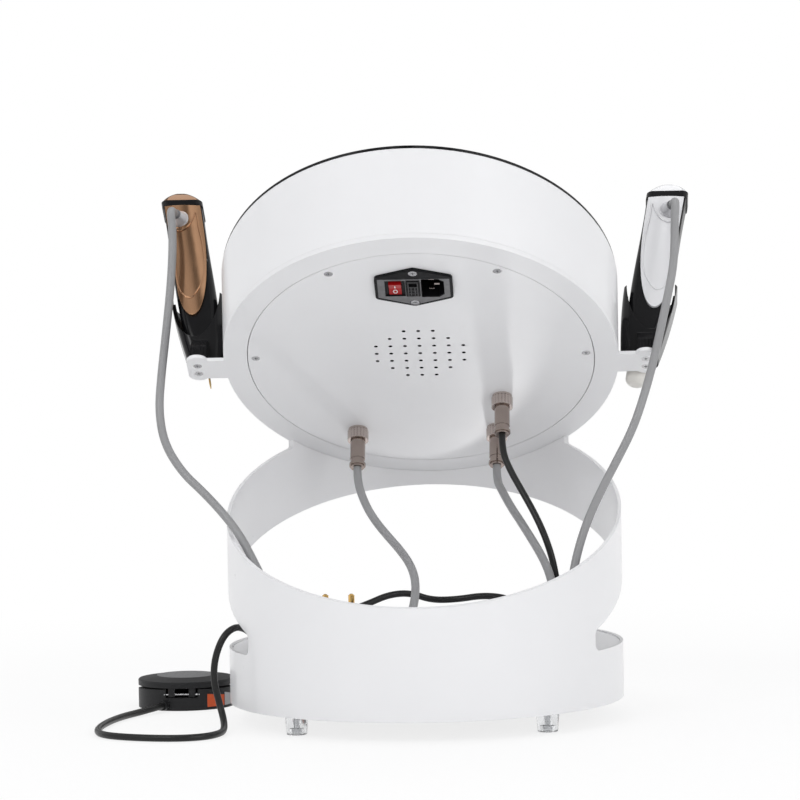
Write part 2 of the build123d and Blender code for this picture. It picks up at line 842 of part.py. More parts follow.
cup_sections = [flared(30, 0.5), flared(cup_waist, cup_waist_flare), flared(cup_top, cup_flare)]
cup_solid = grip_loft([(cup_bottom, *section_at(grip_bottom))] + cup_sections, cup_gap + cup_wall)
cup_hollow = grip_loft([(cup_bottom + cup_floor, *section_at(grip_bottom))] + cup_sections, cup_gap)
boss_side = Plane(origin=spot(arm_reach, 0), x_dir=up_plate, z_dir=(1, 0, 0))
boss_root = grip_s + section_at(30)[1] + cup_gap + 1
opening_face = Plane(origin=spot(grip_centre(cup_top), grip_s, cup_top), x_dir=(1, 0, 0), z_dir=up_plate)
cup_opening_half = section_at(cup_top)[0] + cup_flare + cup_gap + cup_wall - cup_ear
with BuildPart() as gold_cradle:
    add(cup_solid)
    with BuildSketch(boss_side):
        with BuildLine():
            Polyline(
                (boss_root, plate_thickness),
                (boss_s, plate_thickness),
                (boss_s, boss_top),
                (boss_root + 1.2, boss_top * 2),
                (boss_root, boss_top * 2),
                close=True,
            )
        make_face()
    extrude(amount=boss_width / 2, both=True)
    with BuildSketch(seat(arm_reach, boss_s, plate_thickness)):
        with GridLocations(boss_width / 5, 1, 5, 1):
            Circle(boss_rib_radius)
    extrude(amount=boss_top, mode=Mode.SUBTRACT)
    with BuildSketch(seat(arm_reach, arm_screw_s, plate_thickness)):
        with GridLocations(1, arm_screw_spacing, 1, 2):
            Circle(screw_shaft_radius + pin_gap)
    extrude(amount=arm_screw_length - plate_thickness + slip_gap, mode=Mode.SUBTRACT)
    add(cup_hollow, mode=Mode.SUBTRACT)
    with BuildSketch(grip_seat(cup_bottom)):
        Circle(nozzle_radius + 1)
    extrude(amount=cup_floor, mode=Mode.SUBTRACT)
    with BuildSketch(opening_face):
        Ellipse(cup_opening_half, cup_top - cup_opening_low)
    extrude(amount=40, mode=Mode.SUBTRACT)
save(gold_cradle, "gold_cradle")

# Handpiece: black frame, rear shell, front cover, top cap, button, gland, inner board and nozzle
grip_solid = grip_loft(grip_sections, 0)
with BuildPart() as crowned:
    for h, half_x, half_s, _ in grip_sections:
        back = half_s + rear_shell_proud
        with BuildSketch(grip_seat(h)):
            with BuildLine():
                Polyline((half_x, back), (half_x, 0), (-half_x, 0), (-half_x, back))
                ThreePointArc((-half_x, back), (0, back + rear_shell_crown), (half_x, back))
            make_face()
    loft()
hollow_sections = [(h, *section_at(h)) for h in (grip_bottom + grip_wall, 30, 78, band_bottom - 1)]
grip_hollow = grip_loft(hollow_sections, -grip_wall)
shield_face = Plane(origin=spot(grip_centre(0), grip_s, 0), x_dir=grip_side, z_dir=up_plate)


def along(h):
    """Distance up the leaning axis for a height over the plate, downwards in the shield's frame."""
    return -h / cos(radians(grip_lean))


def shield_prism(grow):
    """Rear shell's outline pushed out of the back: level top and a rounded tip off the middle."""
    inner = rear_shell_tip_side + rear_shell_inner_half + grow
    outer = rear_shell_outer_half - rear_shell_tip_side + grow
    low = along(rear_shell_tip) + grow
    inner_shoulder = along(rear_shell_inner_shoulder)
    outer_shoulder = along(rear_shell_outer_shoulder)
    top = along(rear_shell_top + grow + inner * sin(radians(grip_lean)))
    with BuildPart() as made:
        with BuildSketch(Plane(shield_face.offset(cover_start).origin, grip_side, up_plate)):
            with Locations((rear_shell_tip_side, inner_shoulder)):
                Ellipse(inner, low - inner_shoulder)
            with Locations((rear_shell_tip_side + inner, inner_shoulder)):
                Rectangle(2 * inner, 3 * low, mode=Mode.SUBTRACT)
            with Locations((rear_shell_tip_side, outer_shoulder)):
                Ellipse(outer, low - outer_shoulder)
            with Locations((rear_shell_tip_side - inner / 2, (inner_shoulder + top) / 2)):
                Rectangle(inner, inner_shoulder - top)
            with Locations((rear_shell_tip_side + outer / 2, (outer_shoulder + top) / 2)):
                Rectangle(outer, outer_shoulder - top)
        extrude(amount=30)
        split(bisect_by=rear.offset(rear_shell_top + grow), keep=Keep.BOTTOM)
    return made.part


def front_prism(grow):
    """Front cover's rounded outline pushed out of the front."""
    low = along(front_cover_low)
    top = along(front_cover_top)
    with BuildPart() as made:
        with BuildSketch(Plane(shield_face.offset(-cover_start).origin, grip_side, up_plate)):
            with Locations((0, (low + top) / 2)):
                RectangleRounded(2 * (front_cover_half_width + grow), low - top + 2 * grow, 7)
        extrude(amount=-30)
    return made.part


gland_way = up_plate * cos(radians(gland_turn)) + grip_side * sin(radians(gland_turn))
gland_origin = spot(grip_centre(gland_h) + gland_offset, grip_s + section_at(gland_h)[1] + rear_shell_proud, gland_h)
gland_seat = Plane(origin=gland_origin, x_dir=grip_axis, z_dir=gland_way)
button_seat = Plane(
    origin=spot(grip_centre(button_h), grip_s - section_at(button_h)[1], button_h),
    x_dir=grip_side,
    z_dir=up_plate,
)
gland_clearance = 0.15

with BuildPart() as gold_rear_shell:
    add(crowned.part)
    add(shield_prism(0), mode=Mode.INTERSECT)
    add(grip_hollow, mode=Mode.SUBTRACT)
    with BuildSketch(gland_seat.offset(-gland_root - 5)):
        Circle(gland_radius + gland_clearance)
    extrude(amount=20, mode=Mode.SUBTRACT)

with BuildPart() as gold_front_cover:
    add(grip_solid)
    add(front_prism(0), mode=Mode.INTERSECT)
    add(grip_hollow, mode=Mode.SUBTRACT)
    with BuildSketch(button_seat.offset(-5)):
        SlotOverall(button_length + 2 * slip_gap, button_width + 2 * slip_gap, rotation=90)
    extrude(amount=5 + grip_wall + 1, mode=Mode.SUBTRACT)

with BuildPart() as gold_frame:
    add(grip_solid)
    with BuildSketch(grip_seat(band_bottom)):
        RectangleRounded(*(2 * (half + band_proud) for half in section_at(band_bottom)[:2]), 5)
    extrude(amount=grip_top - band_bottom, dir=grip_axis)
    add(grip_hollow, mode=Mode.SUBTRACT)
    add(shield_prism(cover_gap), mode=Mode.SUBTRACT)
    add(front_prism(cover_gap), mode=Mode.SUBTRACT)
    with BuildSketch(gland_seat.offset(-gland_root - 3)):
        Circle(gland_radius + 2 * gland_clearance)
    extrude(amount=20, mode=Mode.SUBTRACT)

dome_sections = (
    (0, 0, 0, 5),
    (0.33, 2.2, 0.6, 4.5),
    (0.67, 6, 1.6, 4),
    (0.92, 10.5, 3, 3),
    (1, 13.5, 4.5, 1.8),
)
with BuildPart() as gold_cap:
    for share, shrink_x, shrink_s, corner in dome_sections:
        with BuildSketch(grip_seat(grip_top + share * dome_height)):
            half_x, half_s, _ = section_at(grip_top)
            RectangleRounded(2 * (half_x - shrink_x), 2 * (half_s - shrink_s), corner)
    loft()

with BuildPart() as gold_button:
    with BuildSketch(button_seat.offset(-1.2)):
        SlotOverall(button_length, button_width, rotation=90)
    extrude(amount=1.2 + grip_wall + slip_gap)
    with BuildSketch(button_seat.offset(grip_wall + slip_gap)):
        SlotOverall(button_length + button_flange, button_width + button_flange, rotation=90)
    extrude(amount=1)

with BuildPart() as gold_gland:
    with BuildSketch(gland_seat):
        Circle(gland_radius)
    extrude(amount=gland_length, taper=degrees(atan2(gland_radius - gland_tip_radius, gland_length)))
    with BuildSketch(gland_seat.offset(-gland_root)):
        Circle(gland_radius)
    extrude(amount=gland_root)

board_half = section_at(grip_board_h - grip_board_length / 2)[0] - grip_wall - 2 * slip_gap
board_face = Plane(origin=spot(grip_centre(0), grip_s - 2, 0), x_dir=grip_side, z_dir=up_plate)
with BuildPart() as gold_grip_board:
    with BuildSketch(board_face):
        with Locations((0, along(grip_board_h))):
            Rectangle(2 * board_half, grip_board_length)
        with Locations((0, along(grip_board_h) - 10)):
            Rectangle(2 * (section_at(grip_board_h)[0] - grip_wall - board_ear_gap), 8)
    extrude(amount=board_thickness)
    with BuildSketch(board_face.offset(board_thickness)):
        with Locations((0, along(grip_board_h) + 18)):
            Rectangle(14, 26)
    extrude(amount=7)

nozzle_seat = Plane(origin=grip_seat(0).origin, x_dir=grip_side, z_dir=grip_axis)


nozzle_profile = Plane(origin=nozzle_seat.origin, x_dir=grip_side, z_dir=nozzle_seat.y_dir * -1)
nozzle_back = (grip_bottom - section_at(grip_bottom)[0] * sin(radians(grip_lean))) - 0.2


def turned(radii):
    """Nozzle turned round the handpiece's axis from pairs of a radius and a distance along it."""
    with BuildPart() as made:
        with BuildSketch(nozzle_profile):
            with BuildLine():
                Polyline((0, radii[0][1]), *radii, (0, radii[-1][1]), close=True)
            make_face()
        revolve(axis=Axis(nozzle_seat.origin, grip_axis))
    return made


gold_nozzle = turned(
    (
        (needle_radius / 2, nozzle_tip_h),
        (needle_radius, nozzle_tip_h + 4),
        (needle_radius, 9),
        (3, 9),
        (nozzle_radius - 1.5, 13.2),
        (nozzle_radius, 13.2),
        (nozzle_radius, nozzle_back),
    )
)
cap_bore_radius = nozzle_radius - cap_wall
bare_nozzle = turned(
    (
        (0.8, -1),
        (2, -1),
        (2, 8),
        (cap_bore_radius - slip_gap, 9),
        (cap_bore_radius - slip_gap, cap_top_h),
        (nozzle_radius, cap_top_h),
        (nozzle_radius, nozzle_back),
    )
)

cap_round = 5.1
with BuildPart() as bare_cap:
    with BuildSketch(nozzle_profile) as cap_outline:
        with BuildLine():
            Polyline(
                (0, cap_end_h),
                (nozzle_radius, cap_end_h),
                (nozzle_radius, cap_top_h - slip_gap),
                (cap_bore_radius, cap_top_h - slip_gap),
                (cap_bore_radius, cap_end_h + cap_wall),
                (0, cap_end_h + cap_wall),
                close=True,
            )
        make_face()
        outer_corner = (nozzle_radius, cap_end_h, 0)
        fillet(cap_outline.vertices().sort_by_distance(outer_corner)[0], cap_round)
        inner_corner = (cap_bore_radius, cap_end_h + cap_wall, 0)
        fillet(cap_outline.vertices().sort_by_distance(inner_corner)[0], cap_round - cap_wall)
    revolve(axis=Axis(nozzle_seat.origin, grip_axis))

pieces = {
    "rear_shell": gold_rear_shell,
    "front_cover": gold_front_cover,
    "frame": gold_frame,
    "cap": gold_cap,
    "button": gold_button,
    "gland": gold_gland,
    "grip_board": gold_grip_board,
}
for piece_name, piece in pieces.items():
    save(piece, f"gold_{piece_name}")
save(gold_nozzle, "gold_nozzle")

# The white handpiece and its cradle mirror the gold ones, with a capped nozzle
pieces["cradle"] = gold_cradle
pieces["nozzle"] = bare_nozzle
pieces["tip_cover"] = bare_cap
for piece_name, piece in pieces.items():
    with BuildPart() as mirrored:
        add(mirror(piece.part, about=Plane.YZ))
    save(mirrored, f"white_{piece_name}")

# Spare tips in their block on the deck
with BuildPart() as tip_block:
    with BuildSketch(Plane.XY.offset(deck_top)) as block_outline:
        for tip_x, tip_y in tip_spots:
            with Locations((tip_x, tip_y)):
                Circle(tip_block_width / 2)
        make_hull()
    extrude(amount=tip_block_height)
    with BuildSketch(Plane.XY.offset(deck_top + 2)):
        with Locations(*tip_spots):
            Circle(tip_stem_radius + slip_gap)
    extrude(amount=tip_block_height, mode=Mode.SUBTRACT)
save(tip_block, "tip_block")

tip_head_low = 8
for number, (tip_x, tip_y) in enumerate(tip_spots, start=1):
    foot = deck_top + 2 + slip_gap / 2
    top = deck_top + tip_height
    with BuildPart() as spare_tip:
        with BuildSketch(Plane((tip_x, tip_y, foot))):
            Circle(tip_stem_radius)
        extrude(amount=top - foot)
        with BuildSketch(Plane((tip_x, tip_y, top - tip_head_low))):
            Circle(tip_head_radius)
        extrude(amount=tip_head_low - 1)
        chamfer(spare_tip.edges().filter_by(GeomType.CIRCLE).sort_by(Axis.Z)[-1], 0.6)
    save(spare_tip, f"spare_tip_{number}")

# Foot pedal
pedal_floor = 2
centre = (pedal_x, pedal_y)
slope_angle = degrees(atan2(pedal_slope, 2 * pedal_radius))
pedal_lid = Plane(
    origin=(pedal_x, pedal_y + pedal_radius, pedal_base_height),
    x_dir=(1, 0, 0),
    z_dir=(0, -sin(radians(slope_angle)), cos(radians(slope_angle))),
)
notch_half = lug_x + lug_width / 2 + 2
notch_low = hinge_height - 2.5
top_low = pedal_base_height + pedal_gap
entry_angle = atan2(hinge_y, pedal_entry_x)
entry_way = Vector(cos(entry_angle), sin(entry_angle), 0)
entry_end = pedal_radius + pedal_entry_length
with BuildPart() as pedal_base:
    with BuildSketch(Plane((*centre, 0))):
        Circle(pedal_radius)
    extrude(amount=pedal_base_height)
    with BuildSketch(Plane((*centre, pedal_floor))):
        Circle(pedal_radius - pedal_wall)
    extrude(amount=pedal_base_height, mode=Mode.SUBTRACT)
    with BuildSketch(Plane((pedal_x, pedal_y + hinge_y, 0))):
        Rectangle(2 * notch_half + 4, 8)
    extrude(amount=pedal_base_height)
    with BuildSketch(Plane((*centre, 0))):
        Circle(2 * pedal_radius)
        Circle(pedal_radius, mode=Mode.SUBTRACT)
    extrude(amount=pedal_base_height, mode=Mode.SUBTRACT)
    split(bisect_by=pedal_lid, keep=Keep.BOTTOM)
    with BuildSketch(Plane((pedal_x, pedal_y + hinge_y + 3, notch_low))):
        Rectangle(2 * notch_half, 16)
    extrude(amount=pedal_base_height, mode=Mode.SUBTRACT)
    hinge_line = Plane(origin=(pedal_x, pedal_y + hinge_y, hinge_height), x_dir=(0, 1, 0), z_dir=(1, 0, 0))
    with BuildSketch(hinge_line):
        Circle(hinge_pin_radius + pin_gap)
    extrude(amount=notch_half + 1.6, both=True, mode=Mode.SUBTRACT)
    entry = Plane(
        origin=Vector(pedal_x, pedal_y, pedal_entry_height) + entry_way * (pedal_radius - pedal_wall),
        x_dir=(0, 0, 1),
        z_dir=entry_way,
    )
    with BuildSketch(entry):
        Circle(pedal_entry_radius)
    extrude(amount=pedal_wall + pedal_entry_length)
save(pedal_base, "pedal_base")

with BuildPart() as pedal_top:
    with BuildSketch(Plane((*centre, top_low))):
        Circle(pedal_radius)
    extrude(amount=pedal_rim_height)
    chamfer(pedal_top.edges().filter_by(GeomType.CIRCLE).sort_by(Axis.Z)[-1], pedal_bevel)
    with Locations((*centre, top_low + pedal_rim_height)):
        Cone(pedal_radius - pedal_bevel, pedal_pad_radius, pedal_dish_height, align=(Align.CENTER, Align.CENTER, Align.MIN))
    with BuildSketch(Plane((pedal_x, pedal_y + hinge_y, hinge_height - 1.7))):
        with GridLocations(2 * lug_x, 1, 2, 1):
            Rectangle(lug_width, lug_thickness)
    extrude(amount=top_low - hinge_height + 1.7)
    with BuildSketch(hinge_line):
        Circle(hinge_pin_radius + pin_gap)
    extrude(amount=notch_half, both=True, mode=Mode.SUBTRACT)
save(pedal_top, "pedal_top")

with BuildPart() as hinge_wire:
    with BuildSketch(hinge_line):
        Circle(hinge_pin_radius)
    extrude(amount=notch_half + 1.5, both=True)
save(hinge_wire, "hinge_wire")

switch_width = 20
switch_depth = 7
switch_height = 12
switch_x = 13
with BuildPart() as pedal_switch:
    with BuildSketch(Plane((pedal_x + switch_x, pedal_y - 10, pedal_floor))):
        Rectangle(switch_width, switch_depth)
    extrude(amount=switch_height)
    with BuildSketch(Plane((pedal_x + switch_x + 4, pedal_y - 10, pedal_floor + switch_height))):
        Rectangle(2.4, 2.4)
    extrude(amount=0.8)
save(pedal_switch, "pedal_switch")

leaf_thickness = 0.8
leaf_width = 8
leaf_start = 14
leaf_end = -24
leaf_side = Plane(origin=(pedal_x, pedal_y, 0), x_dir=(0, 1, 0), z_dir=(1, 0, 0))
with BuildPart() as pedal_spring:
    with BuildSketch(leaf_side):
        with BuildLine():
            Polyline(
                (leaf_start, pedal_floor),
                (leaf_start - 10, pedal_floor),
                (leaf_end + 6, top_low - leaf_thickness - slip_gap),
                (leaf_end, top_low - leaf_thickness - slip_gap),
                (leaf_end, top_low - slip_gap),
                (leaf_end + 6, top_low - slip_gap),
                (leaf_start - 10, pedal_floor + leaf_thickness),
                (leaf_start, pedal_floor + leaf_thickness),
                close=True,
            )
        make_face()
    extrude(amount=-leaf_width)
save(pedal_spring, "pedal_spring")


def route_radii(points):
    """Bend radius at each inner point, as large as its two runs allow."""
    radii = []
    for before, at, after in zip(points, points[1:], points[2:]):
        first, second = Vector(at) - Vector(before), Vector(after) - Vector(at)
        turn = radians(first.get_angle(second))
        radii.append(0.45 * min(first.length, second.length) / tan(turn / 2))
    return radii


def make_cord(name, points, radius):
    """Round cord along straight runs joined by tangent arcs."""
    radii = route_radii(points)
    with BuildPart() as made:
        with BuildLine() as route:
            FilletPolyline(*points, radius=radii)
        path = route.wires()[0]
        with BuildSketch(Plane(origin=path @ 0, z_dir=path % 0)):
            Circle(radius)
        sweep(path=path)
    length = path.length
    share = made.part.volume / (pi * radius**2 * length)
    print(name, "length", round(length), "volume share", round(share, 4), "radii", [round(r) for r in radii])
    save(made, name)
    return length


gland_end = gland_origin + gland_way * gland_length
plug_exits = [Vector(*spot(x, s, -plug_end)) for x, s in jack_spots]
away = inwards * -1

gold_start = [tuple(gland_end), tuple(gland_end + gland_way * 8)]
gold_finish = [tuple(plug_exits[0] + away * 13), tuple(plug_exits[0])]
gold_hang = [
    (25.0, -66.5, 386.5),
    (23.2, -60.5, 375),
    (22.7, -53, 358),
    (23.2, -44.5, 338),
    (24.6, -34, 315),
    (26.6, -22.5, 290),
    (28.7, -9, 263.5),
    (29.9, 4, 237),
]
gold_points = [
    *gold_start,
    *[(arm_reach + x, y, z) for x, y, z in gold_hang],
    (196, 11, 212),
    (182, 18, 190.5),
    (165.5, 26, 176),
    (150, 35, 160.5),
    (136.5, 43, 144),
    (124.5, 54, 122.5),
    (113, 68, 102.5),
    (99.5, 83, 85),
    (82, 95, 70),
    (60, 105, 60.2),
    (38, 104, 60.2),
    (19, 97, 68),
    (8.5, 84, 82),
    (5, 65, 95),
    (5, 43, 107.5),
    (9.5, 23, 118),
    (18, 4, 127.5),
    (28.5, -14, 137),
    (38.5, -30, 147),
    (46.5, -43, 158),
    *gold_finish,
]
make_cord("gold_lead", gold_points, lead_radius)

white_start = [(-x, y, z) for x, y, z in gold_start]
white_finish = [tuple(plug_exits[1] + away * 13), tuple(plug_exits[1])]
white_hang = [
    (-25.3, -66.5, 386.5),
    (-24.4, -60, 375),
    (-24.0, -50.5, 358),
    (-22.4, -39, 338.5),
    (-17.6, -22.5, 317.5),
    (-12.0, -3.5, 294.5),
    (-5.4, 16, 268.5),
    (2.3, 31, 243.5),
]
white_points = [
    *white_start,
    *[(x - arm_reach, y, z) for x, y, z in white_hang],
    (-159.8, 37, 220),
    (-148, 41, 197.7),
    (-135, 45, 174.2),
    (-124, 48, 151),
    (-116, 55, 127),
    (-111.5, 66, 104),
    (-108, 82, 86.5),
    (-100.5, 96, 73),
    (-89, 107, 64),
    (-75, 113.5, 60.4),
    (-61, 114.5, 60.2),
    (-48.5, 108.5, 60.2),
    (-40.5, 97, 60.2),
    (-39.5, 83.5, 60.2),
    (-45, 70.5, 60.2),
    (-57, 62.5, 60.4),
    (-72, 61.5, 64),
    (-87.5, 62, 73),
    (-96.5, 60, 86),
    (-98.5, 56, 101),
    (-95, 45, 114),
    (-89.5, 29, 124.5),
    (-81.5, 9, 136),
    (-73, -12, 147.5),
    (-65, -30, 158),
    (-58.5, -46, 168.5),
    *white_finish,
]
make_cord("white_lead", white_points, lead_radius)

pedal_start = [tuple(plug_exits[2]), tuple(plug_exits[2] + away * 14)]
entry_mouth = Vector(pedal_x, pedal_y, pedal_entry_height) + entry_way * entry_end
pedal_finish = [tuple(entry_mouth + entry_way * 9), tuple(entry_mouth)]
pedal_points = [
    *pedal_start,
    (-65.5, -15, 187),
    (-74, -9, 172),
    (-83, -1, 156.5),
    (-91, 7, 140),
    (-97, 13, 122.5),
    (-100.5, 15, 104),
    (-102, 9, 86),
    (-101.5, -5, 71),
    (-99.5, -24, 61.5),
    (-95.5, -46, 59),
    (-88.5, -69, 62),
    (-77, -91, 71.5),
    (-61, -109, 78.5),
    (-41, -120, 80),
    (-19, -124, 76.5),
    (1, -122, 76.5),
    (17, -117, 83),
    (34, -110, 82.5),
    (51, -100, 76),
    (68, -86, 71.5),
    (85, -69, 66),
    (101, -49, 61.5),
    (114, -27, 60.5),
    (124, -4, 61.5),
    (130.5, 19, 65.5),
    (134.5, 40, 70),
    (140, 56, 73),
    (148.5, 64, 68),
    (155.5, 66, 55),
    (157, 65.5, 38),
    (153, 66, 21),
    (149, 73, 8.5),
    (147.5, 87, 3),
    (149.5, 104, 2.7),
    (158, 119, 2.6),
    (175, 127.5, 2.7),
    (198, 124, 2.6),
    (221, 115.5, 2.7),
    (237, 102, 2.6),
    (243.5, 82, 2.7),
    (244, 56, 2.6),
    (240.5, 26, 2.7),
    (233, -4, 2.6),
    (223, -24, 2.8),
    *pedal_finish,
]
make_cord("pedal_lead", pedal_points, pedal_lead_radius)
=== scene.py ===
import json
from math import atan2, cos, pi, radians, sin, tan

import bpy
from mathutils import Matrix, Vector


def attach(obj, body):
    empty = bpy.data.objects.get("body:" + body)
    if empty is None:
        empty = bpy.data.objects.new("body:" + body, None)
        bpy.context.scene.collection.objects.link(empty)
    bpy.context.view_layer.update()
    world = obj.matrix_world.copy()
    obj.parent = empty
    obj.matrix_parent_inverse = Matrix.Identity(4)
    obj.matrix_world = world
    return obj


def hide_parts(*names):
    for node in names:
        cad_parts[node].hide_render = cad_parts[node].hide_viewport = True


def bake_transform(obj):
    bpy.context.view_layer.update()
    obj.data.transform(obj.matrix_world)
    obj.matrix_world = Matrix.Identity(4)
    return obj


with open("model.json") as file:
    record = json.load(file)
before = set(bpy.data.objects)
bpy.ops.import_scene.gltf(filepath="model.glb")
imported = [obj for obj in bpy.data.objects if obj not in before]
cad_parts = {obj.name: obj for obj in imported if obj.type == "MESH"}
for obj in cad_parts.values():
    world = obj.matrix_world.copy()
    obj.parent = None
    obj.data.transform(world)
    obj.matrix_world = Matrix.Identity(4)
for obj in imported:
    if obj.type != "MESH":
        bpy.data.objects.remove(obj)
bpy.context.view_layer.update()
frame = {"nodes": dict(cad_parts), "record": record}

nodes = frame["nodes"]
scene = bpy.context.scene

MM = 0.001

# Frame of the rear plate: x across, s up the plate, h inwards along its normal
REAR = radians(32.5)
LEAN = radians(9.6)   # of the two handpieces, outwards
PLATE_Z = 0.2713
UP = Vector((0, cos(REAR), sin(REAR)))
INWARDS = Vector((0, -sin(REAR), cos(REAR)))
SIDE = Vector((cos(LEAN), 0, 0)) - INWARDS * sin(LEAN)


def spot(x, s, h=0):
    """Point of the rear plate's frame given in millimetres, in metres in the part's frame."""
    return Vector((x * MM, 0, PLATE_Z)) + UP * s * MM + INWARDS * h * MM


def link(made):
    """Put a new object in the scene."""
    scene.collection.objects.link(made)
    return made


# Camera at the photograph's place, with its small roll
CAMERA_AT = Vector((-0.1377, 3.0484, 0.4015))
CAMERA_TARGET = Vector((0.016535, 0, 0.24204))
CAMERA_ROLL = radians(1.082)
CAMERA_LENS = 180.9   # mm, on a 36 mm sensor

ahead = (CAMERA_TARGET - CAMERA_AT).normalized()
across = ahead.cross(Vector((0, 0, 1))).normalized()
above = across.cross(ahead)
right = across * cos(CAMERA_ROLL) - above * sin(CAMERA_ROLL)
upward = across * sin(CAMERA_ROLL) + above * cos(CAMERA_ROLL)
camera = link(bpy.data.objects.new("camera", bpy.data.cameras.new("camera")))
camera.data.sensor_width = 36
camera.data.lens = CAMERA_LENS
camera.data.clip_end = 20
camera.matrix_world = Matrix.Translation(CAMERA_AT) @ Matrix((right, upward, -ahead)).transposed().to_4x4()
scene.camera = camera


# Materials
def add_node(tree, kind, operation=None, **values):
    """New node with constants on its named sockets; an underscore in a name stands for a space."""
    made = tree.nodes.new("ShaderNode" + kind)
    if operation:
        made.operation = operation
    for socket, value in values.items():
        made.inputs[socket.replace("_", " ")].default_value = value
    return made


def wire(tree, *runs):
    """Link each (node, output, node, input)."""
    for source, out, sink, into in runs:
        tree.links.new(source.outputs[out], sink.inputs[into])


def material(name, colour, rough, metal=0.0, spread=0.05, tone=0.02, tone_scale=14, grain=900, grain_depth=0.00002,
             edge=0.0004, coat=0.0, coat_rough=0.08, transmission=0.0, ior=1.5, streaks=(1, 1, 1), specular=0.5):
    """Principled surface with drifting tone, uneven gloss, fine grain in its normal and softened edges."""
    made = bpy.data.materials.new(name)
    made.use_nodes = True
    tree = made.node_tree
    shader = tree.nodes["Principled BSDF"]
    for socket, value in (("Metallic", metal), ("Coat Weight", coat), ("Coat Roughness", coat_rough),
                          ("Transmission Weight", transmission), ("IOR", ior), ("Specular IOR Level", specular)):
        shader.inputs[socket].default_value = value
    place = add_node(tree, "TexCoord")
    mapping = add_node(tree, "Mapping", Scale=streaks)
    drift = add_node(tree, "TexNoise", Scale=tone_scale, Detail=3)
    ramp = add_node(tree, "ValToRGB")
    for element, position, share in zip(ramp.color_ramp.elements, (0.3, 0.7), (1 - tone, 1 + tone)):
        element.position = position
        element.color = [min(1, c * share) for c in colour] + [1]
    gloss = add_node(tree, "TexNoise", Scale=tone_scale * 6, Detail=4)
    span = add_node(tree, "MapRange", To_Min=max(0.02, rough - spread), To_Max=rough + spread)
    soft = add_node(tree, "Bevel", Radius=edge)
    soft.samples = 4
    fine = add_node(tree, "TexNoise", Scale=grain, Detail=2)
    bump = add_node(tree, "Bump", Distance=grain_depth, Strength=0.5)
    wire(tree, (place, "Object", mapping, "Vector"),
         (mapping, "Vector", drift, "Vector"), (drift, "Fac", ramp, "Fac"), (ramp, "Color", shader, "Base Color"),
         (mapping, "Vector", gloss, "Vector"), (gloss, "Fac", span, "Value"), (span, "Result", shader, "Roughness"),
         (mapping, "Vector", fine, "Vector"), (fine, "Fac", bump, "Height"), (soft, "Normal", bump, "Normal"),
         (bump, "Normal", shader, "Normal"))
    return made


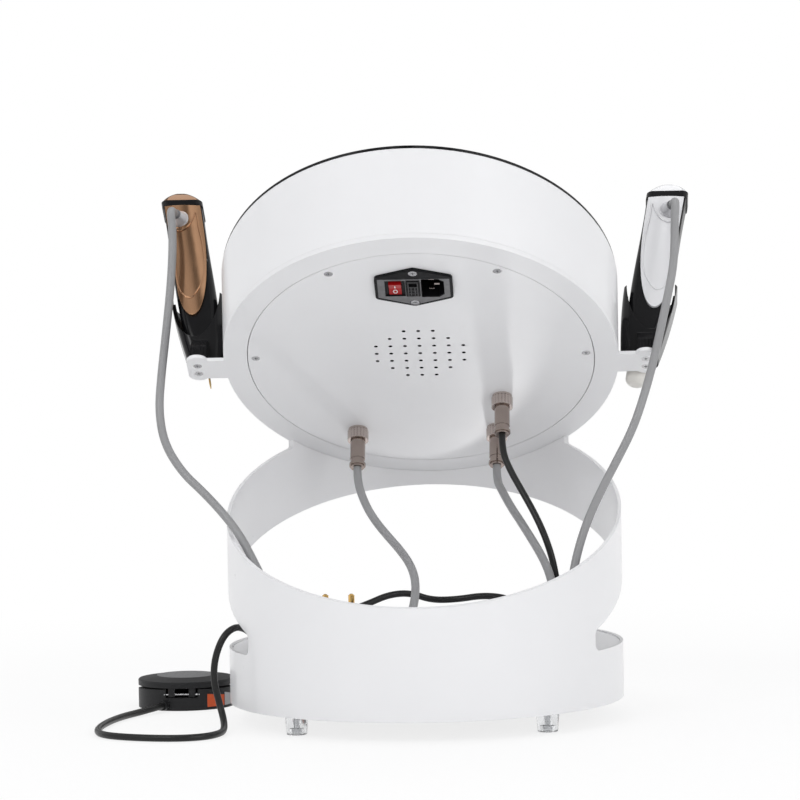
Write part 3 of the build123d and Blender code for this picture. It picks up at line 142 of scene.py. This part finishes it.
LOOKS = {
    "white_shell": dict(colour=(0.82, 0.82, 0.83), rough=0.3, tone=0.01, grain=250, grain_depth=0.00001, coat=0.2),
    "white_plate": dict(colour=(0.81, 0.81, 0.82), rough=0.42, tone=0.012, grain=1600, grain_depth=0.00003),
    "black_gloss": dict(colour=(0.007, 0.007, 0.008), rough=0.2, tone=0.1, grain=300, grain_depth=0.00001,
                        edge=0.0009, coat=0.08, specular=0.2),
    "black_plastic": dict(colour=(0.016, 0.016, 0.017), rough=0.46, tone=0.1, grain=2600, grain_depth=0.00008,
                          specular=0.22),
    "inlet_plastic": dict(colour=(0.008, 0.008, 0.009), rough=0.3, tone=0.1, grain=2600, grain_depth=0.00004,
                          specular=0.1),
    "rose_gold": dict(colour=(0.48, 0.27, 0.152), rough=0.13, metal=0.88, spread=0.04, tone=0.04, coat=0.2,
                      grain=2400, grain_depth=0.000006),
    # Painted shade: the cap's rose gold is a darker copy of rose_gold, holding down the top lamp's highlight on it
    "rose_gold_shaded_cap": dict(colour=(0.25, 0.148, 0.092), rough=0.13, metal=0.88, spread=0.04, tone=0.04, coat=0.2,
                          grain=2400, grain_depth=0.000006),
    "white_grip": dict(colour=(0.74, 0.74, 0.755), rough=0.16, tone=0.01, grain=300, grain_depth=0.000006, coat=0.7,
                       coat_rough=0.05),
    "silver_gland": dict(colour=(0.55, 0.55, 0.57), rough=0.3, metal=0.35, tone=0.02, grain=1500),
    # Painted shade: a darker copy of silver_gland for the rim round the lead
    "silver_rim": dict(colour=(0.20, 0.20, 0.21), rough=0.3, metal=0.35, tone=0.02, grain=1500),
    "grey_lead": dict(colour=(0.285, 0.285, 0.29), rough=0.4, tone=0.03, tone_scale=40, grain=1800,
                      grain_depth=0.00003, specular=0.4),
    "black_lead": dict(colour=(0.012, 0.012, 0.012), rough=0.34, tone=0.1, tone_scale=40, grain=1800,
                       grain_depth=0.00003, specular=0.3),
    "screen_glass": dict(colour=(0.004, 0.004, 0.005), rough=0.05, spread=0.02, tone=0.05, coat=0.2, coat_rough=0.03,
                         grain=60, grain_depth=0.000002, specular=0.3),
    "nickel": dict(colour=(0.54, 0.47, 0.44), rough=0.12, metal=1.0, spread=0.06, tone=0.06, tone_scale=60,
                   grain=3000, grain_depth=0.00001, edge=0.0002),
    # Painted shade: a darker copy of nickel for the plugs' barrels, standing for the dark reflections along them
    "nickel_shaded_barrel": dict(colour=(0.36, 0.30, 0.27), rough=0.12, metal=1.0, spread=0.05, tone=0.06, tone_scale=60,
                          grain=3000, grain_depth=0.00001, edge=0.0002),
    "steel": dict(colour=(0.55, 0.55, 0.56), rough=0.26, metal=1.0, spread=0.08, tone=0.05, grain=2500, edge=0.0002),
    "brass": dict(colour=(0.72, 0.47, 0.17), rough=0.24, metal=1.0, spread=0.08, tone=0.06, grain=2500, edge=0.0002),
    "gold_metal": dict(colour=(0.80, 0.56, 0.25), rough=0.22, metal=1.0, tone=0.05, grain=2500, edge=0.0001),
    "red_plastic": dict(colour=(0.33, 0.004, 0.005), rough=0.4, tone=0.04, grain=900, specular=0.18),
    "grey_plastic": dict(colour=(0.07, 0.07, 0.073), rough=0.4, tone=0.06, grain=2600, grain_depth=0.00005,
                         specular=0.3),
    "clear_plastic": dict(colour=(0.93, 0.94, 0.95), rough=0.12, tone=0.01, transmission=0.9, ior=1.45, grain=700),
    "milky_plastic": dict(colour=(0.9, 0.88, 0.83), rough=0.35, tone=0.02, transmission=0.25, ior=1.45),
    "circuit_board": dict(colour=(0.02, 0.16, 0.07), rough=0.35, tone=0.15, tone_scale=120),
    "aluminium": dict(colour=(0.7, 0.7, 0.71), rough=0.36, metal=1.0, tone=0.03, streaks=(1, 12, 12)),
    "pebbled": dict(colour=(0.17, 0.17, 0.174), rough=0.5, tone=0.12, tone_scale=300, grain=700, grain_depth=0.0006,
                    specular=0.35),
    # Partly painted light: the fascia's own grey, also laid over the lower flange's bevel where light makes it look
    # grey
    "inlet_grey_and_lit": dict(colour=(0.15, 0.15, 0.155), rough=0.45, tone=0.15, tone_scale=220, grain=2600,
                       grain_depth=0.0001, specular=0.3),
    "orange_patch": dict(colour=(0.62, 0.10, 0.03), rough=0.45, tone=0.05, grain=2600, specular=0.3),
    "grey_patch": dict(colour=(0.45, 0.45, 0.46), rough=0.45, tone=0.05, grain=2600, specular=0.3),
    # Painted shade: dark liners in the vents stand for the shade inside the holes
    "vent_painted_shade": dict(colour=(0.012, 0.012, 0.012), rough=0.7, tone=0.1, specular=0.1),
    "white_mark": dict(colour=(0.80, 0.78, 0.78), rough=0.5, tone=0.01, specular=0.3),
}
looks = {name: material(name, **values) for name, values in LOOKS.items()}

# Each solid takes the look of its slot, apart from these
OWN_LOOKS = {
    "inlet_housing": "inlet_plastic",
    "fuse_drawer": "inlet_plastic",
    # Painted shade: the cap takes the darker copy of rose gold
    "gold_cap": "rose_gold_shaded_cap",
    # Painted shade: the plugs' barrels take the darker copy of nickel
    "gold_plug": "nickel_shaded_barrel",
    "white_plug": "nickel_shaded_barrel",
    "pedal_plug": "nickel_shaded_barrel",
}
for entry in frame["record"]["subparts"]:
    node = nodes[entry["node"]]
    look = looks[OWN_LOOKS.get(entry["node"], entry["material_slot"])]
    if not node.material_slots:
        node.data.materials.append(look)
    for holder in node.material_slots:
        holder.material = look


def piece(name, mesh, look, body):
    """New object in the scene that rides on a body."""
    made = link(bpy.data.objects.new(name, mesh))
    made.data.materials.append(looks[look])
    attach(made, body)
    return made


def evaluated_mesh(holder):
    """Mesh of a curve object as Blender draws it; the object is removed."""
    bpy.context.view_layer.update()
    mesh = bpy.data.meshes.new_from_object(holder.evaluated_get(bpy.context.evaluated_depsgraph_get()))
    bpy.data.objects.remove(holder)
    return mesh


def tube_mesh(name, points, radius, closed=False, sides=6, levels=8):
    """Mesh tube and centreline points of a smooth NURBS line through control points in metres."""
    curve = bpy.data.curves.new(name, "CURVE")
    curve.dimensions = "3D"
    spline = curve.splines.new("NURBS")
    spline.points.add(len(points) - 1)
    for target_point, p in zip(spline.points, points):
        target_point.co = (*p, 1)
    spline.order_u = 3
    spline.use_cyclic_u = closed
    spline.use_endpoint_u = not closed
    spline.resolution_u = levels
    holder = link(bpy.data.objects.new(name + "_line", curve))
    line = bpy.data.meshes.new_from_object(holder)
    centreline = [v.co.copy() for v in line.vertices]
    bpy.data.meshes.remove(line)
    curve.bevel_depth = radius
    curve.bevel_resolution = sides
    curve.use_fill_caps = not closed
    curve.update_tag()
    mesh = evaluated_mesh(holder)
    for face in mesh.polygons:
        face.use_smooth = True
    return mesh, centreline


def ring_points(radius, count, x=0, y=0):
    """Points of a flat circle, x and y."""
    return [(x + radius * cos(2 * pi * k / count), y + radius * sin(2 * pi * k / count)) for k in range(count)]


def mirrored(point, side):
    """Point of the left, gold handpiece (side 1) or of the right, white one (side -1)."""
    return Vector((point.x * side, point.y, point.z))


# Handpieces: the axis stands GRIP_X out and GRIP_S down the plate, leans by LEAN and widens up to SHOULDER_H
HANDS = (("gold", 1), ("white", -1))
GRIP_X, GRIP_S = 163.5, -31
NECK_H, SHOULDER_H, TOP_H = 30, 78, 159.6
SHELL_PROUD = 0.6
SHELL_CROWN = 1.7
GLAND_H, GLAND_ASIDE = 141, 4
GLAND_TURN = radians(15)
gland_way = UP * cos(GLAND_TURN) + SIDE * sin(GLAND_TURN)


def widened(h, low, high):
    """Size that grows from low at the neck to high at the shoulder and stays so above it."""
    return low + (high - low) * (h - NECK_H) / (SHOULDER_H - NECK_H) if h < SHOULDER_H else high


def section_half(h):
    """Half depth of the handpiece at height h."""
    return widened(h, 12, 14)


def section_width(h):
    """Half width of the handpiece at height h."""
    return widened(h, 12.7, 15.5) + 0.2 * max(0, h - SHOULDER_H) / (TOP_H - SHOULDER_H)


def shell_point(h, a, proud=0.0):
    """Point over the crowned rear shell of the left handpiece at height h, a along its width."""
    crown = SHELL_CROWN * max(0, 1 - (a / section_width(h)) ** 2)
    return spot(GRIP_X + h * tan(LEAN), GRIP_S + section_half(h) + SHELL_PROUD + crown + proud, h) + SIDE * a * MM


def gland_end(reach):
    """Point out along the gold gland's axis from its base."""
    base = spot(GRIP_X + GLAND_H * tan(LEAN) + GLAND_ASIDE, GRIP_S + section_half(GLAND_H) + SHELL_PROUD, GLAND_H)
    return base + gland_way * reach * MM


# Leads, along the same points as the part's routes, in millimetres
gold_middle = [
    (195.6, -66.5, 386.5), (193.8, -60.5, 375), (193.3, -53, 358), (193.8, -44.5, 338), (195.2, -34, 315),
    (197.2, -22.5, 290), (199.3, -9, 263.5), (200.5, 4, 237), (196, 11, 212), (182, 18, 190.5),
    (165.5, 26, 176), (150, 35, 160.5), (136.5, 43, 144), (124.5, 54, 122.5), (113, 68, 102.5),
    (99.5, 83, 85), (82, 95, 70), (60, 105, 60.2), (38, 104, 60.2), (19, 97, 68),
    (8.5, 84, 82), (5, 65, 95), (5, 43, 107.5), (9.5, 23, 118), (18, 4, 127.5),
    (28.5, -14, 137), (38.5, -30, 147), (46.5, -43, 158),
]
white_middle = [
    (-195.9, -66.5, 386.5), (-195, -60, 375), (-194.6, -50.5, 358), (-193, -39, 338.5), (-188.2, -22.5, 317.5),
    (-182.6, -3.5, 294.5), (-176, 16, 268.5), (-168.3, 31, 243.5), (-159.8, 37, 220), (-148, 41, 197.7),
    (-135, 45, 174.2), (-124, 48, 151), (-116, 55, 127), (-111.5, 66, 104), (-108, 82, 86.5),
    (-100.5, 96, 73), (-89, 107, 64), (-75, 113.5, 60.4), (-61, 114.5, 60.2), (-48.5, 108.5, 60.2),
    (-40.5, 97, 60.2), (-39.5, 83.5, 60.2), (-45, 70.5, 60.2), (-57, 62.5, 60.4), (-72, 61.5, 64),
    (-87.5, 62, 73), (-96.5, 60, 86), (-98.5, 56, 101), (-95, 45, 114), (-89.5, 29, 124.5),
    (-81.5, 9, 136), (-73, -12, 147.5), (-65, -30, 158), (-58.5, -46, 168.5),
]
pedal_middle = [
    (-65.5, -15, 187), (-74, -9, 172), (-83, -1, 156.5), (-91, 7, 140), (-97, 13, 122.5),
    (-100.5, 15, 104), (-102, 9, 86), (-101.5, -5, 71), (-99.5, -24, 61.5), (-95.5, -46, 59),
    (-88.5, -69, 62), (-77, -91, 71.5), (-61, -109, 78.5), (-41, -120, 80), (-19, -124, 76.5),
    (1, -122, 76.5), (17, -117, 83), (34, -110, 82.5), (51, -100, 76), (68, -86, 71.5),
    (85, -69, 66), (101, -49, 61.5), (114, -27, 60.5), (124, -4, 61.5), (130.5, 19, 65.5),
    (134, 40, 73), (140.5, 56.5, 77), (149, 64, 71), (155.5, 66, 55), (157, 65.5, 38),
    (153, 66, 21), (149, 73, 8.5), (147.5, 87, 3), (149.5, 104, 2.7), (158, 119, 2.6),
    (175, 127.5, 2.7), (198, 124, 2.6), (221, 115.5, 2.7), (237, 102, 2.6), (243.5, 82, 2.7),
    (244, 56, 2.6), (240.5, 26, 2.7), (233, -4, 2.6), (223, -24, 2.8),
]
GOLD_PLUG, WHITE_PLUG, PEDAL_PLUG = (54.3, -105.5), (-54.3, -105.5), (-59.9, -56)   # x, s
PLUG_LENGTH = 34
PEDAL_AT = (193.5, -86.5)
PEDAL_RADIUS = 37.5
PEDAL_GLAND = 6   # length of the gland on its side
PEDAL_LEAD_Z = 4.6


def plug_exit(plug, out):
    """Point out along a plug's axis beyond its end, in millimetres."""
    return spot(*plug, -PLUG_LENGTH - out) / MM


start, step = gland_end(9) / MM, gland_end(17) / MM
entry_angle = atan2(34.2, 12.5)
entry_way = Vector((cos(entry_angle), sin(entry_angle), 0))
entry_mouth = Vector((*PEDAL_AT, PEDAL_LEAD_Z)) + entry_way * (PEDAL_RADIUS + PEDAL_GLAND)
routes = {   # control points, radius, look and the body that the free end follows
    "gold_lead": (
        [start, step, *gold_middle, plug_exit(GOLD_PLUG, 13), plug_exit(GOLD_PLUG, 0)],
        3.2, "grey_lead", "gold_handpiece",
    ),
    "white_lead": (
        [mirrored(start, -1), mirrored(step, -1), *white_middle, plug_exit(WHITE_PLUG, 13), plug_exit(WHITE_PLUG, 0)],
        3.2, "grey_lead", "white_handpiece",
    ),
    "pedal_lead": (
        [plug_exit(PEDAL_PLUG, 0), plug_exit(PEDAL_PLUG, 14), *pedal_middle, entry_mouth + entry_way * 9, entry_mouth],
        2.6, "black_lead", None,
    ),
}
for name, (points, radius, look, hand) in routes.items():
    mesh, line = tube_mesh(name + "_jacket", [Vector(p) * MM for p in points], radius * MM, levels=10)
    lead = link(bpy.data.objects.new(name + "_jacket", mesh))
    lead.data.materials.append(looks[look])
    if hand:
        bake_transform(lead)
    else:
        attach(lead, "stand")
    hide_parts(name)


# Raised lines on the handpieces' rear shells: heights and places across, as the photograph shows them
shell_outline = [(147.9, -9.9), (139.8, -10.2), (131.7, -9.9), (118, -11), (104.4, -10.8), (94.3, -9.9), (84.3, -7.1),
                 (76.8, -3.1), (71, 1.9), (69.4, 4.9), (71.2, 8.2), (75.4, 11.2), (83, 12.7), (93.1, 12.9), (112, 11.3),
                 (127, 9), (131.9, 8), (130.2, 4.8), (131.6, 0.3), (135.2, -3.7), (141.1, -7.6)]
for key, side in HANDS:
    line = [mirrored(shell_point(h, a, 0.42), side) for h, a in shell_outline]
    mesh, _ = tube_mesh(key + "_shell_line", line, 0.5 * MM, closed=True, sides=4)
    piece(key + "_shell_line", mesh, "rose_gold" if side > 0 else "white_grip", key + "_handpiece")

# Rims of the cable glands: a bright one at the foot, and round the lead a darker copy of the same silver, painted shade
# where the lead goes in
rim_x = (INWARDS - gland_way * INWARDS.dot(gland_way)).normalized()
rim_y = gland_way.cross(rim_x)
for key, side in HANDS:
    for part, reach, radius, thick, look in (("foot", 0.2, 6.95, 0.75, "silver_gland"),
                                             ("lip", 8.9, 3.85, 0.6, "silver_rim")):
        ring = [mirrored(gland_end(reach) + (rim_x * x + rim_y * y) * MM, side) for x, y in ring_points(radius, 16)]
        mesh, _ = tube_mesh(f"{key}_gland_{part}", ring, thick * MM, closed=True, sides=4)
        piece(f"{key}_gland_{part}", mesh, look, key + "_handpiece")

# Power inlet: its middle is INLET_S up the plate
INLET_S = 111.5
ROCKER_X, FUSE_X = 13.8, 0.6
ROCKER_TURN = Matrix.Rotation(radians(-8), 3, "X")


def rocker_point(x, s, proud):
    """Point over the rocker's two sloping faces: x across, s up the plate from its axle."""
    out = 3.6 + abs(s) / 8.8 + proud
    return spot(ROCKER_X + x, INLET_S, 1.5) + ROCKER_TURN @ (UP * s - INWARDS * out) * MM


# Marks on the rocker: a bar for on and a ring for off
bar, _ = tube_mesh("rocker_bar", [rocker_point(0, s, 0.15) for s in (2, 4, 6)], 0.45 * MM, sides=3)
piece("rocker_bar", bar, "white_mark", "power_rocker")
ring = [rocker_point(1.5 * x, -4.3 + 2.3 * y, 0.15) for x, y in ring_points(1, 12)]
ring, _ = tube_mesh("rocker_ring", ring, 0.36 * MM, closed=True, sides=3)
piece("rocker_ring", ring, "white_mark", "power_rocker")

# Grid of ribs on the fuse drawer's face, from (x0, s0) to (x1, s1)
for number, (x0, s0, x1, s1) in enumerate([
    (-3.4, 8.6, -3.4, -9.4), (3.4, 8.6, 3.4, -9.4), (-1.4, 1.6, -1.4, -8.6), (1.4, 1.6, 1.4, -8.6),
    (-4, 2.4, 4, 2.4), (-4, -2.2, 4, -2.2), (-4, -6, 4, -6), (-4, 9.2, 4, 9.2), (-4, -9.8, 4, -9.8),
]):
    ends = [spot(FUSE_X + x0 + (x1 - x0) * t, INLET_S + s0 + (s1 - s0) * t, -3.25) for t in (0, 0.5, 1)]
    rib, _ = tube_mesh(f"fuse_rib_{number}", ends, 0.32 * MM, sides=2)
    piece(f"fuse_rib_{number}", rib, "grey_plastic", "fuse_tray")


def slab(name, rows, thick, outward):
    """Closed thin sheet over a grid of points, thickened along outward(point)."""
    high, wide = len(rows), len(rows[0])
    low_points = [p for row in rows for p in row]
    points = low_points + [p + outward(p) * thick for p in low_points]
    shift = high * wide
    faces = []
    for j in range(high - 1):
        for i in range(wide - 1):
            a = j * wide + i
            faces.append((a, a + wide, a + wide + 1, a + 1))
            faces.append((a + shift, a + 1 + shift, a + wide + 1 + shift, a + wide + shift))
    rim = [i for i in range(wide)] + [j * wide + wide - 1 for j in range(1, high)]
    rim += [(high - 1) * wide + i for i in range(wide - 2, -1, -1)] + [j * wide for j in range(high - 2, 0, -1)]
    for a, b in zip(rim, rim[1:] + rim[:1]):
        faces.append((a, b, b + shift, a + shift))
    mesh = bpy.data.meshes.new(name)
    mesh.from_pydata([tuple(p) for p in points], [], faces)
    mesh.update()
    return mesh


# Painted shade: dark, open liners in the vents, standing for the shade inside the holes
VENT_PITCH, VENT_S, VENT_RADIUS, VENT_SIDES = 11, 12.1, 1.46, 16
VENT_ROWS = (3, 5, 7, 7, 7, 5, 3)
points = []
faces = []
for row, count in enumerate(VENT_ROWS):
    for column in range(count):
        x = (column - (count - 1) / 2) * VENT_PITCH
        s = VENT_S + (row - len(VENT_ROWS) // 2) * VENT_PITCH
        first = len(points)
        for h in (0.1, 2.9):
            points += [spot(*p, h) for p in ring_points(VENT_RADIUS, VENT_SIDES, x, s)]
        for k in range(VENT_SIDES):
            after = (k + 1) % VENT_SIDES
            faces.append((first + k, first + after, first + VENT_SIDES + after, first + VENT_SIDES + k))
shade_liners = bpy.data.meshes.new("vent_shade_liners")
shade_liners.from_pydata([tuple(p) for p in points], [], faces)
piece("vent_shade_liners", shade_liners, "vent_painted_shade", "stand")


def outline_face(name, loops, thick, place):
    """Flat plate with holes from closed outlines in millimetres, placed by a function of x, y and z."""
    curve = bpy.data.curves.new(name, "CURVE")
    curve.dimensions = "2D"
    curve.fill_mode = "BOTH"
    curve.extrude = thick / 2
    for loop in loops:
        spline = curve.splines.new("POLY")
        spline.points.add(len(loop) - 1)
        for target_point, (x, y) in zip(spline.points, loop):
            target_point.co = (x, y, 0, 1)
        spline.use_cyclic_u = True
    mesh = evaluated_mesh(link(bpy.data.objects.new(name + "_outline", curve)))
    for vertex in mesh.vertices:
        vertex.co = place(*vertex.co)
    return mesh


def box_loop(x, y, width, height):
    """Corners of a rectangle about a middle."""
    return [(x - width / 2, y - height / 2), (x + width / 2, y - height / 2),
            (x + width / 2, y + height / 2), (x - width / 2, y + height / 2)]


# Greyer face of the inlet, cut out round the rocker, the fuse drawer, the socket and the lower screw: the fascia's own
# grey, carried down over the lower flange's bevel as painted light
hexagon = [(-26.6, 12.8), (26.6, 12.8), (26.6, -12.4), (0, -23.2), (-26.6, -12.4)]
socket_hole = [(-22.4, -9), (-22.4, 9), (-18.6, 12.6), (-5.4, 12.6), (-5.4, -12.6), (-18.6, -12.6)]
holes = [box_loop(ROCKER_X, 0, 15, 21.6), box_loop(FUSE_X, 0, 10.4, 22.4), socket_hole, ring_points(3.9, 24, 0, -20.5)]
face = outline_face("inlet_face", [hexagon, *holes], 0.1, lambda x, y, z: spot(x, INLET_S + y, -2.56 - z))
piece("inlet_face", face, "inlet_grey_and_lit", "stand")

# Plain stickers on the pedal's base and the pebbled pad on its top
PEDAL = Vector((*PEDAL_AT, 0)) * MM
PEDAL_BASE_TOP, PEDAL_TOP_THICK = 17.4, 6.8


def from_pedal(p):
    """Direction from the pedal's axis out to a point."""
    return Vector((p.x - PEDAL.x, p.y - PEDAL.y, 0)).normalized()


def sticker_rows(first, last):
    """Points on the pedal's side between two angles in degrees, lower towards the last one."""
    bottom, top, drop = 2.2, 12.4, 1.8
    rows = []
    for up in (0, 0.5, 1):
        row = []
        for i in range(9):
            angle = radians(first + (last - first) * i / 8)
            z = bottom + (top - drop * i / 8 - bottom) * up
            out = PEDAL_RADIUS + 0.02
            row.append(PEDAL + Vector((cos(angle) * out, sin(angle) * out, z)) * MM)
        rows.append(row)
    return rows


for name, look, first, last in (("pedal_sticker_a", "orange_patch", 121.5, 147.5),
                                ("pedal_sticker_b", "grey_patch", 148.5, 163)):
    piece(name, slab(name, sticker_rows(first, last), 0.15 * MM, from_pedal), look, "stand")

pad = outline_face("pedal_pad", [ring_points(22.8, 72)], 0.1,
                   lambda x, y, z: PEDAL + Vector((x, y, PEDAL_BASE_TOP + PEDAL_TOP_THICK + 0.05 + z)) * MM)
piece("pedal_pad", pad, "pebbled", "foot_plate")

# Floor: white for the camera and in reflections, with the shadow near the object, fading to plain white away from it
FLOOR_HALF = 6
floor_mesh = bpy.data.meshes.new("floor")
floor_mesh.from_pydata([(-FLOOR_HALF, -FLOOR_HALF, 0), (FLOOR_HALF, -FLOOR_HALF, 0), (FLOOR_HALF, FLOOR_HALF, 0),
                        (-FLOOR_HALF, FLOOR_HALF, 0)], [], [(0, 1, 2, 3)])
floor = link(bpy.data.objects.new("floor", floor_mesh))
floor.location.z = -0.0003
floor_look = bpy.data.materials.new("floor")
floor_look.use_nodes = True
tree = floor_look.node_tree
base = tree.nodes["Principled BSDF"]
base.inputs["Base Color"].default_value = (0.9, 0.9, 0.9, 1)
base.inputs["Roughness"].default_value = 0.9
base.inputs["Specular IOR Level"].default_value = 0.1
glow = add_node(tree, "Emission", Color=(1, 1, 1, 1))
ray = add_node(tree, "LightPath")
bright = add_node(tree, "Math", "MAXIMUM")
where = add_node(tree, "TexCoord")
away = add_node(tree, "VectorMath", "LENGTH")
reach = add_node(tree, "MapRange", From_Min=0.28, From_Max=0.9, To_Min=0.8, To_Max=1)
reach.interpolation_type = "SMOOTHSTEP"
share = add_node(tree, "Math", "MULTIPLY")
mixed = add_node(tree, "MixShader")
wire(tree, (ray, "Is Camera Ray", bright, 0), (ray, "Is Glossy Ray", bright, 1), (bright, "Value", share, 0),
     (where, "Object", away, 0), (away, "Value", reach, "Value"), (reach, "Result", share, 1),
     (share, "Value", mixed, "Fac"), (base, "BSDF", mixed, 1), (glow, "Emission", mixed, 2),
     (mixed, "Shader", tree.nodes["Material Output"], "Surface"))
floor.data.materials.append(floor_look)

# World: plain for diffuse rays, white behind the object, and a white studio with soft dark gaps in reflections
world = bpy.data.worlds.new("studio")
scene.world = world
world.use_nodes = True
tree = world.node_tree
plain = tree.nodes["Background"]
plain.inputs["Color"].default_value = (0.98, 0.985, 1, 1)
plain.inputs["Strength"].default_value = 0.7
seen = add_node(tree, "Background", Color=(1, 1, 1, 1))
studio = add_node(tree, "Background")
heading = add_node(tree, "TexCoord")
parts = add_node(tree, "SeparateXYZ")
spread = add_node(tree, "MapRange", From_Min=-1)
bands = add_node(tree, "ValToRGB")
# Place from -X (0) to +X (1) and grey level
BANDS = [(0.0, 0.85), (0.16, 1.0), (0.25, 0.9), (0.33, 0.4), (0.39, 0.5), (0.45, 0.85), (0.482, 1.0), (0.505, 0.1),
         (0.54, 0.12), (0.57, 0.5), (0.62, 0.65), (0.7, 0.35), (0.8, 1.0), (1.0, 0.8)]
while len(bands.color_ramp.elements) < len(BANDS):
    bands.color_ramp.elements.new(0.5)
for element, (position, _) in zip(bands.color_ramp.elements, BANDS):
    element.position = position
for element, (_, level) in zip(bands.color_ramp.elements, BANDS):
    element.color = (level, level, level, 1)
ray = add_node(tree, "LightPath")
either = add_node(tree, "Math", "MAXIMUM")
glossy_mix = add_node(tree, "MixShader")
mixed = add_node(tree, "MixShader")
wire(tree, (heading, "Generated", parts, "Vector"), (parts, "X", spread, "Value"), (spread, "Result", bands, "Fac"),
     (bands, "Color", studio, "Color"), (ray, "Is Glossy Ray", glossy_mix, "Fac"),
     (plain, "Background", glossy_mix, 1), (studio, "Background", glossy_mix, 2),
     (ray, "Is Camera Ray", either, 0), (ray, "Is Transmission Ray", either, 1), (either, "Value", mixed, "Fac"),
     (glossy_mix, "Shader", mixed, 1), (seen, "Background", mixed, 2),
     (mixed, "Shader", tree.nodes["World Output"], "Surface"))


# Lamps
def aimed(name, light, at, aim):
    """Lamp at a point, aimed at another, that the camera doesn't see itself."""
    at = Vector(at)
    made = link(bpy.data.objects.new(name, light))
    made.location = at
    made.rotation_euler = (Vector(aim) - at).to_track_quat("-Z", "Y").to_euler()
    made.visible_camera = False


for name, at, aim, power, width, shine in (
    ("key", (1.1, 1.9, 1.9), (0, 0, 0.25), 16, 0.9, 0.4),
    ("fill", (-1.8, 1.5, 1.2), (0, 0, 0.25), 12, 1.2, 0.4),
    ("top", (0, -0.4, 2.4), (0, 0, 0.2), 10, 1.4, 0.2),
):
    light = bpy.data.lights.new(name, "AREA")
    light.energy = power
    light.size = width
    light.specular_factor = shine
    aimed(name, light, at, aim)

# Narrow beam from the open front up to the rear plate, for the plugs' long shadows
beam = bpy.data.lights.new("beam", "SPOT")
beam.energy = 1.0
beam.spot_size = radians(42)
beam.spot_blend = 0.4
beam.shadow_soft_size = 0.01
aimed("beam", beam, (-0.06, -0.27, 0.02), (0.03, 0, 0.28))

scene.view_settings.view_transform = "Standard"
